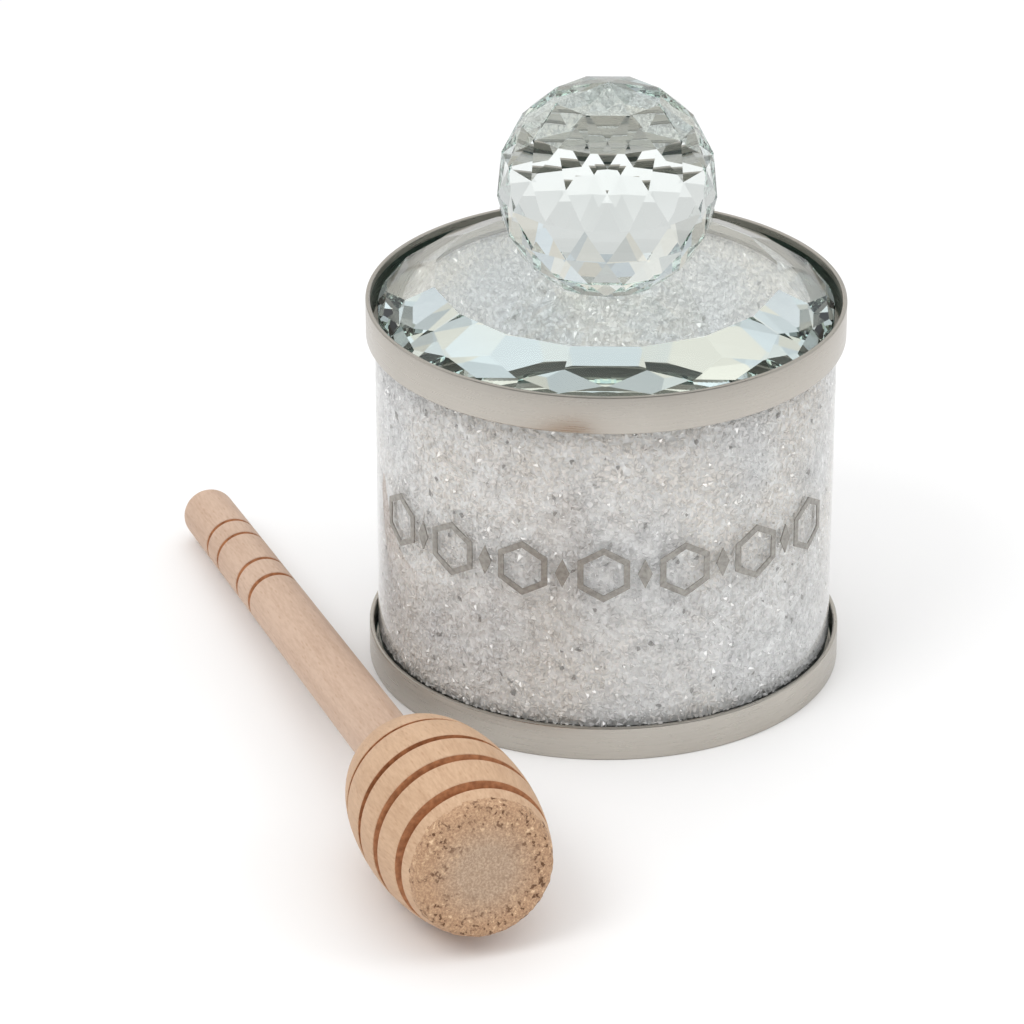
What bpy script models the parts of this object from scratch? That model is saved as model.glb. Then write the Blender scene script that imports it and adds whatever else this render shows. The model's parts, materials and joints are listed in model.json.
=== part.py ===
# Crystal honey dish: a glass cup inside a glass tube with a bonded fill of crushed
# crystal between them, a metal tray under them and another on top, a loose cut
# crystal lid with a ball knob, and a turned wooden dipper lying beside the dish.
#
# +Z is up. The origin is the centre of the dish's underside, on the table.

import math

import bmesh
import bpy
from mathutils import Euler, Vector

MM = 0.001
FULL_TURN = 2.0 * math.pi

# Shared fits
SEAT_GAP = 0.3 * MM             # between pieces that touch
WELD = 0.001 * MM               # points closer than this are one point
HALF_STEP_SHARE = 0.5           # turns one ring of facets half a step against another

# Metal trays: the dish stands in the lower one, the lid lies in the upper one
BAND_RADIUS = 40.0 * MM         # outside of both rims
BODY_HEIGHT = 66.2 * MM         # table to the upper rim's edge
UPPER_RIM_HEIGHT = 6.6 * MM
LOWER_RIM_HEIGHT = 6.0 * MM
TRAY_SHEET = 0.8 * MM
RIM_EASING = 0.2 * MM           # eased edge of a rim
PAD_THICKNESS = 1.0 * MM
PAD_SETBACK = 0.6 * MM          # from the lower rim's inner wall

# Glass tube, crystal fill and cup, from the outside in
TUBE_CLEARANCE = 0.7 * MM       # lower rim to tube
TUBE_WALL = 1.2 * MM
TUBE_EASING = 0.4 * MM
FILL_THICKNESS = 4.7 * MM
FILL_RELIEF = 0.9 * MM          # how deep the lumps of crushed crystal stand
FILL_PITCH = 5.5 * MM           # from lump to lump
CUP_WALL = 2.0 * MM
CUP_FLOOR = 4.0 * MM
CUP_INNER_FILLET = 5.0 * MM
CUP_OUTER_FILLET = 1.5 * MM
CUP_EASING = 0.4 * MM
LEDGE_SETBACK = 1.6 * MM        # cup's inner wall to the upper tray's hole

# Cut crystal lid
LID_CLEARANCE = 1.2 * MM        # upper rim's inner wall to the lid
LID_GIRDLE_DROP = 0.4 * MM      # girdle's upper edge, below the rim's edge
LID_TABLE_RISE = 3.6 * MM       # table above the rim's edge
LID_TABLE_RADIUS = 28.4 * MM    # to the middle of the table's sides
LID_SIDES = 16
LID_GIRDLE_SLOPE = math.radians(34.0)
LID_GIRDLE_REACH = 3.2 * MM     # how far the small girdle facets reach inward
LID_EDGE_SLOPE = math.radians(48.0)
LID_EDGE_REACH = 1.45 * MM      # how far the smallest facets, at the edge, reach inward
LID_EDGE_SINK = 0.25 * MM       # their upper ends, under the crown facets
LID_FOOT_BEVEL = 2.4 * MM
LID_FOOT_SLOPE = math.radians(42.0)

# Ball knob: rows of corners at these angles from its top, each row turned half a step
BALL_RADIUS = 18.4 * MM
BALL_CORNERS = 16
BALL_ROWS = [math.radians(angle) for angle in (22.0, 44.0, 66.0, 88.0, 109.0, 129.0, 148.0)]

# Silver ornaments on the tube, in place of lettering
ORNAMENT_HEIGHT = 33.8 * MM     # of the row's middle above the table
ORNAMENT_THICKNESS = 0.25 * MM
COMB_COUNT = 7
COMB_PITCH = 13.4 * MM          # along the tube's surface
COMB_RADIUS = 4.9 * MM          # middle to corner of a comb cell
COMB_STROKE = 1.15 * MM
COMB_CORNERS = 6
DROP_WIDTH = 2.4 * MM
DROP_HEIGHT = 5.2 * MM

# Turned dipper, measured along its axis from the end of the handle
DIPPER_LENGTH = 154.0 * MM
DIPPER_PLACE = Vector((-71.2 * MM, 41.7 * MM))   # end of the handle, on the table
DIPPER_HEADING = math.radians(-69.6)
HANDLE_RADIUS = 4.6 * MM
HANDLE_NECK_RADIUS = 5.0 * MM
HANDLE_END_FILLET = 1.8 * MM
HANDLE_GROOVES = [17.0 * MM, 23.3 * MM, 35.3 * MM, 42.7 * MM]
HANDLE_GROOVE_WIDTH = 1.3 * MM
HANDLE_GROOVE_DEPTH = 0.6 * MM
GROOVE_DRAFT_SHARE = 1.0 / 6.0  # of a groove's width, lost to each sloping wall
HEAD_LENGTH = 41.0 * MM
HEAD_RADIUS = 13.9 * MM
HEAD_WIDEST_FROM_FACE = 18.0 * MM
HEAD_FACE_RADIUS = 11.1 * MM
HEAD_FACE_EASING = 0.5 * MM
HEAD_SHOULDER_RADIUS = 7.6 * MM
HEAD_SHOULDER_LENGTH = 1.6 * MM
HEAD_GROOVES_FROM_FACE = [29.4 * MM, 20.4 * MM, 12.9 * MM, 5.2 * MM]
HEAD_GROOVE_WIDTH = 1.7 * MM
HEAD_GROOVE_DEPTH = 2.2 * MM

# How finely round pieces are turned
DISH_STEPS = 72
DIPPER_STEPS = 40
FILLET_STEPS = 4
HEAD_STEPS = 14
COMB_SIDE_STEPS = 3
FILL_LAYERS = 7                 # depths that the lumps of the fill take in turn
SHARP_ANGLE = math.radians(30.0)

# Places worked out from the sizes above
RIM_INNER_RADIUS = BAND_RADIUS - TRAY_SHEET
FLOOR_UNDERSIDE = PAD_THICKNESS + SEAT_GAP
FLOOR_TOP = FLOOR_UNDERSIDE + TRAY_SHEET
GLASS_FOOT = FLOOR_TOP + SEAT_GAP
LEDGE_UNDERSIDE = BODY_HEIGHT - UPPER_RIM_HEIGHT
LEDGE_TOP = LEDGE_UNDERSIDE + TRAY_SHEET
GLASS_TOP = LEDGE_UNDERSIDE - SEAT_GAP
TUBE_RADIUS = RIM_INNER_RADIUS - TUBE_CLEARANCE
TUBE_INNER_RADIUS = TUBE_RADIUS - TUBE_WALL
FILL_RADIUS = TUBE_INNER_RADIUS - SEAT_GAP
FILL_INNER_RADIUS = FILL_RADIUS - FILL_THICKNESS
CUP_RADIUS = FILL_INNER_RADIUS - SEAT_GAP
CUP_INNER_RADIUS = CUP_RADIUS - CUP_WALL
LEDGE_HOLE_RADIUS = CUP_INNER_RADIUS + LEDGE_SETBACK
LID_RADIUS = RIM_INNER_RADIUS - LID_CLEARANCE
LID_FOOT = LEDGE_TOP + SEAT_GAP
LID_GIRDLE = BODY_HEIGHT - LID_GIRDLE_DROP
LID_TABLE = BODY_HEIGHT + LID_TABLE_RISE
BALL_BASE = LID_TABLE + SEAT_GAP
BALL_CENTRE = BALL_BASE - BALL_RADIUS * math.cos(BALL_ROWS[-1])

# Finishes: linear colour, roughness, metallic, transmission, alpha
FINISHES = {
    "satin_steel": ((0.56, 0.51, 0.45), 0.32, 1.0, 0.0, 1.0),
    "silver_transfer": ((0.36, 0.35, 0.33), 0.45, 0.7, 0.0, 1.0),
    "clear_glass": ((0.93, 0.96, 0.95), 0.02, 0.0, 1.0, 0.35),
    "cut_crystal": ((0.95, 0.97, 0.96), 0.02, 0.0, 1.0, 0.35),
    "crushed_crystal": ((0.90, 0.91, 0.91), 0.15, 0.0, 0.6, 1.0),
    "black_felt": ((0.05, 0.05, 0.055), 0.95, 0.0, 0.0, 1.0),
    "beech": ((0.61, 0.43, 0.29), 0.55, 0.0, 0.0, 1.0),
}


def clear_scene():
    for item in list(bpy.data.objects):
        bpy.data.objects.remove(item, do_unlink=True)


def make_material(name):
    colour, roughness, metallic, transmission, alpha = FINISHES[name]
    material = bpy.data.materials.new(name)
    material.use_nodes = True
    shader = material.node_tree.nodes["Principled BSDF"]
    shader.inputs["Base Color"].default_value = (*colour, 1.0)
    shader.inputs["Roughness"].default_value = roughness
    shader.inputs["Metallic"].default_value = metallic
    shader.inputs["Transmission Weight"].default_value = transmission
    shader.inputs["Alpha"].default_value = alpha
    material.diffuse_color = (*colour, alpha)
    return material


def make_object(name, bm, material, smooth=True, parent=None):
    """Turn a bmesh into a named object whose faces point outward."""
    bmesh.ops.remove_doubles(bm, verts=bm.verts, dist=WELD)
    bmesh.ops.recalc_face_normals(bm, faces=bm.faces)
    mesh = bpy.data.meshes.new(name)
    bm.to_mesh(mesh)
    bm.free()
    if smooth:
        mesh.shade_smooth()
        mesh.set_sharp_from_angle(angle=SHARP_ANGLE)
    mesh.materials.append(material)
    item = bpy.data.objects.new(name, mesh)
    bpy.context.scene.collection.objects.link(item)
    item.parent = parent
    return item


def arc(centre, radius, start, end, steps):
    """Points of an arc in the radius and height plane, both ends included."""
    points = []
    for index in range(steps + 1):
        angle = math.radians(start + (end - start) * index / steps)
        points.append((centre[0] + radius * math.cos(angle), centre[1] + radius * math.sin(angle)))
    return points


def turned(outline, steps):
    """Spin an outline of (radius, height) points about Z.

    An outline that starts and ends on the axis makes a solid, any other is a closed
    loop and makes a ring.
    """
    bm = bmesh.new()
    points = [bm.verts.new((radius, 0.0, height)) for radius, height in outline]
    edges = [bm.edges.new(pair) for pair in zip(points, points[1:])]
    if outline[0][0] > 0.0 or outline[-1][0] > 0.0:
        edges.append(bm.edges.new((points[-1], points[0])))
    bmesh.ops.spin(bm, geom=points + edges, cent=Vector(), axis=Vector((0.0, 0.0, 1.0)),
                   angle=FULL_TURN, steps=steps, use_merge=True)
    return bm


def cut_facet(bm, direction, reach, height, slope):
    """Grind one flat: keep what lies under a plane that leans outward.

    The plane passes through the point at the given reach and height in the given
    direction; a positive slope faces up and a negative one faces down.
    """
    outward = Vector((math.cos(direction), math.sin(direction), 0.0))
    tilt = math.sin(abs(slope))
    rise = math.copysign(math.cos(slope), slope)
    normal = Vector((outward.x * tilt, outward.y * tilt, rise))
    point = outward * reach + Vector((0.0, 0.0, height))
    cut = bmesh.ops.bisect_plane(bm, geom=bm.verts[:] + bm.edges[:] + bm.faces[:], dist=WELD,
                                 plane_co=point, plane_no=normal, clear_outer=True)
    rim = [part for part in cut["geom_cut"] if isinstance(part, bmesh.types.BMEdge)]
    if rim:
        bmesh.ops.contextual_create(bm, geom=rim)


def cut_facets(bm, count, first, reach, height, slope):
    """Grind a ring of equal flats, the first at the given share of a step."""
    for index in range(count):
        cut_facet(bm, FULL_TURN * (index + first) / count, reach, height, slope)


def rim_loop(height):
    """The four eased points of a rim's upper edge, from outside to inside."""
    return [
        (BAND_RADIUS, height - RIM_EASING),
        (BAND_RADIUS - RIM_EASING, height),
        (RIM_INNER_RADIUS + RIM_EASING, height),
        (RIM_INNER_RADIUS, height - RIM_EASING),
    ]


def lower_tray(material):
    outline = [(0.0, FLOOR_TOP), (RIM_INNER_RADIUS, FLOOR_TOP)]
    outline += reversed(rim_loop(LOWER_RIM_HEIGHT))
    outline += [
        (BAND_RADIUS, RIM_EASING),
        (BAND_RADIUS - RIM_EASING, 0.0),
        (RIM_INNER_RADIUS, 0.0),
        (RIM_INNER_RADIUS, FLOOR_UNDERSIDE),
        (0.0, FLOOR_UNDERSIDE),
    ]
    return make_object("base_tray", turned(outline, DISH_STEPS), material)


def upper_tray(material):
    outline = rim_loop(BODY_HEIGHT)
    outline += [
        (RIM_INNER_RADIUS, LEDGE_TOP),
        (LEDGE_HOLE_RADIUS, LEDGE_TOP),
        (LEDGE_HOLE_RADIUS, LEDGE_UNDERSIDE),
        (BAND_RADIUS - RIM_EASING, LEDGE_UNDERSIDE),
        (BAND_RADIUS, LEDGE_UNDERSIDE + RIM_EASING),
    ]
    return make_object("lid_tray", turned(outline, DISH_STEPS), material)


def base_pad(material):
    radius = RIM_INNER_RADIUS - PAD_SETBACK
    outline = [(0.0, PAD_THICKNESS), (radius, PAD_THICKNESS), (radius, 0.0), (0.0, 0.0)]
    return make_object("base_pad", turned(outline, DISH_STEPS), material)


def outer_tube(material):
    outline = [
        (TUBE_RADIUS, GLASS_TOP - TUBE_EASING),
        (TUBE_RADIUS - TUBE_EASING, GLASS_TOP),
        (TUBE_INNER_RADIUS + TUBE_EASING, GLASS_TOP),
        (TUBE_INNER_RADIUS, GLASS_TOP - TUBE_EASING),
        (TUBE_INNER_RADIUS, GLASS_FOOT + TUBE_EASING),
        (TUBE_INNER_RADIUS + TUBE_EASING, GLASS_FOOT),
        (TUBE_RADIUS - TUBE_EASING, GLASS_FOOT),
        (TUBE_RADIUS, GLASS_FOOT + TUBE_EASING),
    ]
    return make_object("outer_tube", turned(outline, DISH_STEPS), material)


def lumpy_wall(bm, radius, depth, columns, rows):
    """A round wall of small tilted facets. Depth is how far its lumps fall back."""
    grid = []
    for row in range(rows + 1):
        height = GLASS_FOOT + (GLASS_TOP - GLASS_FOOT) * row / rows
        ring = []
        for column in range(columns):
            angle = FULL_TURN * column / columns
            fall_share = (3 * row + 5 * column) % FILL_LAYERS / (FILL_LAYERS - 1)
            reach = radius + depth * fall_share
            ring.append(bm.verts.new((reach * math.cos(angle), reach * math.sin(angle), height)))
        grid.append(ring)
    for lower, upper in zip(grid, grid[1:]):
        for column in range(columns):
            after = (column + 1) % columns
            bm.faces.new((lower[column], lower[after], upper[after]))
            bm.faces.new((lower[column], upper[after], upper[column]))
    return grid[0], grid[-1]


def crystal_fill(material):
    """The bonded ring of crushed crystal, lumpy on the side of the tube and of the cup."""
    columns = round(FULL_TURN * FILL_RADIUS / FILL_PITCH)
    rows = round((GLASS_TOP - GLASS_FOOT) / FILL_PITCH)
    bm = bmesh.new()
    outer_foot, outer_top = lumpy_wall(bm, FILL_RADIUS, -FILL_RELIEF, columns, rows)
    inner_foot, inner_top = lumpy_wall(bm, FILL_INNER_RADIUS, FILL_RELIEF, columns, rows)
    for outer, inner in ((outer_foot, inner_foot), (outer_top, inner_top)):
        for column in range(columns):
            after = (column + 1) % columns
            bm.faces.new((outer[column], outer[after], inner[after], inner[column]))
    return make_object("crystal_fill", bm, material, smooth=False)


def inner_cup(material):
    floor = GLASS_FOOT + CUP_FLOOR
    hollow = arc((CUP_INNER_RADIUS - CUP_INNER_FILLET, floor + CUP_INNER_FILLET),
                 CUP_INNER_FILLET, -90.0, 0.0, FILLET_STEPS)
    foot = arc((CUP_RADIUS - CUP_OUTER_FILLET, GLASS_FOOT + CUP_OUTER_FILLET),
               CUP_OUTER_FILLET, 0.0, -90.0, FILLET_STEPS)
    outline = [(0.0, floor)] + hollow
    outline += [
        (CUP_INNER_RADIUS, GLASS_TOP - CUP_EASING),
        (CUP_INNER_RADIUS + CUP_EASING, GLASS_TOP),
        (CUP_RADIUS - CUP_EASING, GLASS_TOP),
        (CUP_RADIUS, GLASS_TOP - CUP_EASING),
    ]
    outline += foot + [(0.0, GLASS_FOOT)]
    return make_object("inner_cup", turned(outline, DISH_STEPS), material)


def lid_glass(material, parent):
    """A round slab of crystal with a many-sided table and sloping cut facets."""
    outline = [(0.0, LID_TABLE), (LID_RADIUS, LID_TABLE), (LID_RADIUS, LID_FOOT), (0.0, LID_FOOT)]
    bm = turned(outline, DISH_STEPS)
    bmesh.ops.remove_doubles(bm, verts=bm.verts, dist=WELD)
    bmesh.ops.recalc_face_normals(bm, faces=bm.faces)
    crown_drop = LID_TABLE - LID_GIRDLE
    crown_slope = math.atan2(crown_drop, LID_RADIUS - LID_TABLE_RADIUS)
    cut_facets(bm, LID_SIDES, 0.0, LID_TABLE_RADIUS, LID_TABLE, crown_slope)
    cut_facets(bm, LID_SIDES, HALF_STEP_SHARE, LID_RADIUS - LID_GIRDLE_REACH,
               LID_GIRDLE + LID_GIRDLE_REACH * math.tan(crown_slope), LID_GIRDLE_SLOPE)
    cut_facets(bm, 2 * LID_SIDES, HALF_STEP_SHARE, LID_RADIUS - LID_EDGE_REACH,
               LID_GIRDLE + LID_EDGE_REACH * math.tan(crown_slope) - LID_EDGE_SINK, LID_EDGE_SLOPE)
    cut_facets(bm, LID_SIDES, 0.0, LID_RADIUS, LID_FOOT + LID_FOOT_BEVEL, -LID_FOOT_SLOPE)
    return make_object("lid_glass", bm, material, smooth=False, parent=parent)


def ball_knob(material, parent):
    """A ball of triangular facets with a flat base, corner rows turned half a step."""
    bm = bmesh.new()
    top = bm.verts.new((0.0, 0.0, BALL_CENTRE + BALL_RADIUS))
    rows = []
    for number, fall in enumerate(BALL_ROWS):
        row = []
        for index in range(BALL_CORNERS):
            angle = FULL_TURN * (index + number * HALF_STEP_SHARE) / BALL_CORNERS
            reach = BALL_RADIUS * math.sin(fall)
            height = BALL_CENTRE + BALL_RADIUS * math.cos(fall)
            row.append(bm.verts.new((reach * math.cos(angle), reach * math.sin(angle), height)))
        rows.append(row)
    for index, corner in enumerate(rows[0]):
        bm.faces.new((top, corner, rows[0][(index + 1) % BALL_CORNERS]))
    for upper, lower in zip(rows, rows[1:]):
        for index in range(BALL_CORNERS):
            after = (index + 1) % BALL_CORNERS
            bm.faces.new((upper[index], lower[index], upper[after]))
            bm.faces.new((upper[after], lower[index], lower[after]))
    bm.faces.new(rows[-1])
    return make_object("ball_knob", bm, material, smooth=False, parent=parent)


def wrap(across, up, radius):
    """A point of the flat ornament, laid round the tube's front."""
    angle = across / TUBE_RADIUS - math.pi / 2.0
    return Vector((radius * math.cos(angle), radius * math.sin(angle), ORNAMENT_HEIGHT + up))


def ornament_radii():
    inner = TUBE_RADIUS + SEAT_GAP
    return inner, inner + ORNAMENT_THICKNESS


def comb_loop(radius):
    """A six-sided loop standing on its corner, its sides split to follow the tube."""
    corners = []
    for index in range(COMB_CORNERS + 1):
        angle = math.pi / 2.0 + FULL_TURN * index / COMB_CORNERS
        corners.append(Vector((radius * math.cos(angle), radius * math.sin(angle))))
    points = []
    for start, end in zip(corners, corners[1:]):
        for step in range(COMB_SIDE_STEPS):
            points.append(start.lerp(end, step / COMB_SIDE_STEPS))
    return points


def comb_cell(name, place, material):
    """One cell of honeycomb: a thin six-sided frame that lies round the tube."""
    back, front = ornament_radii()
    loops = []
    for radius, depth in ((COMB_RADIUS, front), (COMB_RADIUS - COMB_STROKE, front),
                          (COMB_RADIUS - COMB_STROKE, back), (COMB_RADIUS, back)):
        loops.append([(place + point.x, point.y, depth) for point in comb_loop(radius)])
    bm = bmesh.new()
    rings = [[bm.verts.new(wrap(*point)) for point in loop] for loop in loops]
    for ring, other in zip(rings, rings[1:] + rings[:1]):
        for index in range(len(ring)):
            after = (index + 1) % len(ring)
            bm.faces.new((ring[index], ring[after], other[after], other[index]))
    return make_object(name, bm, material, smooth=False)


def drop(name, place, material):
    """A thin lozenge between two cells."""
    back, front = ornament_radii()
    half_width = DROP_WIDTH / 2.0
    half_height = DROP_HEIGHT / 2.0
    corners = [(0.0, half_height), (-half_width, 0.0), (0.0, -half_height), (half_width, 0.0)]
    bm = bmesh.new()
    faces = []
    for depth in (front, back):
        faces.append([bm.verts.new(wrap(place + x, y, depth)) for x, y in corners])
    near, far = faces
    for layer in faces:
        bm.faces.new((layer[0], layer[1], layer[2]))
        bm.faces.new((layer[0], layer[2], layer[3]))
    for index in range(len(corners)):
        after = (index + 1) % len(corners)
        bm.faces.new((near[index], near[after], far[after], far[index]))
    return make_object(name, bm, material, smooth=False)


def ornament_row(material):
    middle = (COMB_COUNT - 1) / 2.0
    for index in range(COMB_COUNT):
        comb_cell(f"comb_cell_{index + 1}", (index - middle) * COMB_PITCH, material)
    for index in range(COMB_COUNT - 1):
        place = (index + HALF_STEP_SHARE - middle) * COMB_PITCH
        drop(f"comb_drop_{index + 1}", place, material)


def handle_radius(along):
    """The plain handle, a little thicker towards the head."""
    share = along / (DIPPER_LENGTH - HEAD_LENGTH)
    return HANDLE_RADIUS + (HANDLE_NECK_RADIUS - HANDLE_RADIUS) * share


def head_radius(along):
    """The head's barrel: an arc each side of its widest ring."""
    widest = DIPPER_LENGTH - HEAD_WIDEST_FROM_FACE
    if along > widest:
        share = (along - widest) / HEAD_WIDEST_FROM_FACE
        return HEAD_RADIUS - (HEAD_RADIUS - HEAD_FACE_RADIUS) * share ** 2
    shoulder = DIPPER_LENGTH - HEAD_LENGTH + HEAD_SHOULDER_LENGTH
    share = (widest - along) / (widest - shoulder)
    return HEAD_SHOULDER_RADIUS + (HEAD_RADIUS - HEAD_SHOULDER_RADIUS) * math.sqrt(1.0 - share ** 2)


def groove(along, radius_at, width, depth):
    """The four points of one turned groove with slightly sloping walls."""
    start = along - width / 2.0
    end = along + width / 2.0
    bottom = radius_at(along) - depth
    draft = width * GROOVE_DRAFT_SHARE
    return [(radius_at(start), start), (bottom, start + draft),
            (bottom, end - draft), (radius_at(end), end)]


def dipper_outline():
    """Radius and length points from the end of the handle to the head's face."""
    neck = DIPPER_LENGTH - HEAD_LENGTH
    outline = [(0.0, 0.0)]
    outline += arc((HANDLE_RADIUS - HANDLE_END_FILLET, HANDLE_END_FILLET),
                   HANDLE_END_FILLET, -90.0, 0.0, FILLET_STEPS)
    for along in HANDLE_GROOVES:
        outline += groove(along, handle_radius, HANDLE_GROOVE_WIDTH, HANDLE_GROOVE_DEPTH)
    outline.append((handle_radius(neck), neck))
    grooves = [DIPPER_LENGTH - back for back in HEAD_GROOVES_FROM_FACE]
    stops = []
    first = neck + HEAD_SHOULDER_LENGTH
    span = DIPPER_LENGTH - HEAD_FACE_EASING - first
    for index in range(HEAD_STEPS + 1):
        along = first + span * index / HEAD_STEPS
        if all(abs(along - middle) > HEAD_GROOVE_WIDTH for middle in grooves):
            stops.append((along, [(head_radius(along), along)]))
    for middle in grooves:
        stops.append((middle, groove(middle, head_radius, HEAD_GROOVE_WIDTH, HEAD_GROOVE_DEPTH)))
    for _, points in sorted(stops):
        outline += points
    outline += [(HEAD_FACE_RADIUS - HEAD_FACE_EASING, DIPPER_LENGTH), (0.0, DIPPER_LENGTH)]
    return outline


def lift_axis(name, place, turn=(0.0, 0.0, 0.0)):
    """An empty that marks where a loose piece is lifted from and how it lies."""
    empty = bpy.data.objects.new(name, None)
    empty.location = place
    empty.rotation_euler = turn
    bpy.context.scene.collection.objects.link(empty)
    return empty


def honey_dipper(material):
    """The dipper lies on its handle's end and on the widest ring of its head."""
    bm = turned(dipper_outline(), DIPPER_STEPS)
    widest = DIPPER_LENGTH - HEAD_WIDEST_FROM_FACE
    tilt = math.asin((HEAD_RADIUS - HANDLE_RADIUS) / (widest - HANDLE_END_FILLET))
    turn = Euler((0.0, math.pi / 2.0 - tilt, DIPPER_HEADING))
    lay = turn.to_matrix()
    low = min((lay @ point.co).z for point in bm.verts)
    axis = lift_axis("dipper_axis", (DIPPER_PLACE.x, DIPPER_PLACE.y, -low), turn)
    return make_object("honey_dipper", bm, material, parent=axis)


def build():
    clear_scene()
    finish = {name: make_material(name) for name in FINISHES}

    lower_tray(finish["satin_steel"])
    base_pad(finish["black_felt"])
    outer_tube(finish["clear_glass"])
    crystal_fill(finish["crushed_crystal"])
    inner_cup(finish["clear_glass"])
    upper_tray(finish["satin_steel"])
    ornament_row(finish["silver_transfer"])
    lid_axis = lift_axis("lid_axis", (0.0, 0.0, 0.0))
    lid_glass(finish["cut_crystal"], lid_axis)
    ball_knob(finish["cut_crystal"], lid_axis)
    honey_dipper(finish["beech"])


build()
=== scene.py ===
import json
import math
import random

import bmesh
import bpy
from mathutils import Euler, Matrix, Vector, noise

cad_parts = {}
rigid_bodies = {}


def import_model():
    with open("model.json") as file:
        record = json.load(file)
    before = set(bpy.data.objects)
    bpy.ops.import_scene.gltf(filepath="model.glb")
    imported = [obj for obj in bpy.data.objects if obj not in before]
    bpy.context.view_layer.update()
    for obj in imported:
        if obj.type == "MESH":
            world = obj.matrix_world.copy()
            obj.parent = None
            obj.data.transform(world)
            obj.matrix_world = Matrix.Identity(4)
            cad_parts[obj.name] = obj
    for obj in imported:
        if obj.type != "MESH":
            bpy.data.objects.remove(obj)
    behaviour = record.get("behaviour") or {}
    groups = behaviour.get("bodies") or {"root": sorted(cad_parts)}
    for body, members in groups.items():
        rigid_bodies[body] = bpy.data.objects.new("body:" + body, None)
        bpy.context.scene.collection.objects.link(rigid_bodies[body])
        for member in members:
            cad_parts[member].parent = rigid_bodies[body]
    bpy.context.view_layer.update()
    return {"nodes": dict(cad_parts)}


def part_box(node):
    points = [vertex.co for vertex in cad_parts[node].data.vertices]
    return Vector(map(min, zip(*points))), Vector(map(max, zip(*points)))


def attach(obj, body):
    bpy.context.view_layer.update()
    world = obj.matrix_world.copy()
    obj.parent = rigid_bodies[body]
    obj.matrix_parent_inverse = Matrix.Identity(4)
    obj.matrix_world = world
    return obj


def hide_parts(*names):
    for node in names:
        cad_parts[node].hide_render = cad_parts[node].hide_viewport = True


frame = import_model()
nodes = frame["nodes"]

mm = 0.001
fullTurn = 2.0 * math.pi
print("frame loaded:", len(nodes), "nodes")


# Shader helpers: every finish below is built from these few calls

def newFinish(name):
    finish = bpy.data.materials.new(name)
    finish.use_nodes = True
    return finish, finish.node_tree, finish.node_tree.nodes["Principled BSDF"]


def feed(tree, node, inputs):
    # a socket is linked, a plain value is set on the input
    for key, value in inputs.items():
        if isinstance(value, bpy.types.NodeSocket):
            tree.links.new(value, node.inputs[key])
        else:
            node.inputs[key].default_value = value


def addNode(tree, kind, inputs=None, **options):
    node = tree.nodes.new(kind)
    for key, value in options.items():
        setattr(node, key, value)
    feed(tree, node, inputs or {})
    return node


def objectPlace(tree):
    return addNode(tree, "ShaderNodeTexCoord").outputs["Object"]


def upward(tree, place):
    return addNode(tree, "ShaderNodeSeparateXYZ", {0: place}).outputs["Z"]


def calc(tree, operation, first, second=0.0, third=0.0):
    return addNode(tree, "ShaderNodeMath", {0: first, 1: second, 2: third}, operation=operation).outputs[0]


def between(tree, value, low, high):
    return calc(tree, "MULTIPLY", calc(tree, "GREATER_THAN", value, low),
                calc(tree, "LESS_THAN", value, high))


def fade(tree, value, start, end, low=0.0, high=1.0, kind="LINEAR"):
    # low at start, high at end, and level beyond them
    return addNode(tree, "ShaderNodeMapRange", {0: value, 1: start, 2: end, 3: low, 4: high},
                   interpolation_type=kind).outputs[0]


def scaled(tree, vector, factors):
    return addNode(tree, "ShaderNodeVectorMath", {0: vector, 1: factors}, operation="MULTIPLY").outputs[0]


def reachOf(tree, vector, factors=(1.0, 1.0, 1.0)):
    return addNode(tree, "ShaderNodeVectorMath", {0: scaled(tree, vector, factors)},
                   operation="LENGTH").outputs["Value"]


def blendColours(tree, factor, first, second, blend="MIX"):
    mix = addNode(tree, "ShaderNodeMix", data_type="RGBA", blend_type=blend)
    feed(tree, mix, {0: factor, 6: first, 7: second})
    return mix.outputs[2]


def blendShaders(tree, factor, first, second):
    return addNode(tree, "ShaderNodeMixShader",
                   {0: factor, 1: first.outputs[0], 2: second.outputs[0]}).outputs[0]


def setSurface(tree, shading):
    feed(tree, tree.nodes["Material Output"], {"Surface": shading})


def ramp(tree, value, stops):
    node = addNode(tree, "ShaderNodeValToRGB", {0: value})
    band = node.color_ramp
    while len(band.elements) < len(stops):
        band.elements.new(1.0)
    for element, (place, tone) in zip(band.elements, stops):
        element.position = place
        element.color = tone if isinstance(tone, tuple) else (tone, tone, tone, 1.0)
    return node.outputs[0]


def noiseOf(tree, place, scale, detail=3.0, roughness=0.5):
    node = addNode(tree, "ShaderNodeTexNoise",
                   {"Vector": place, "Scale": scale, "Detail": detail, "Roughness": roughness})
    return node.outputs[0]


def bumpOf(tree, height, strength, distance):
    return addNode(tree, "ShaderNodeBump",
                   {"Height": height, "Strength": strength, "Distance": distance}).outputs[0]


def linear(red, green, blue):
    # screen colour, 0 to 255, as a shader colour
    def lift(value):
        share = value / 255.0
        return share / 12.92 if share <= 0.04045 else ((share + 0.055) / 1.055) ** 2.4
    return (lift(red), lift(green), lift(blue), 1.0)


# Mesh helpers

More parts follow.
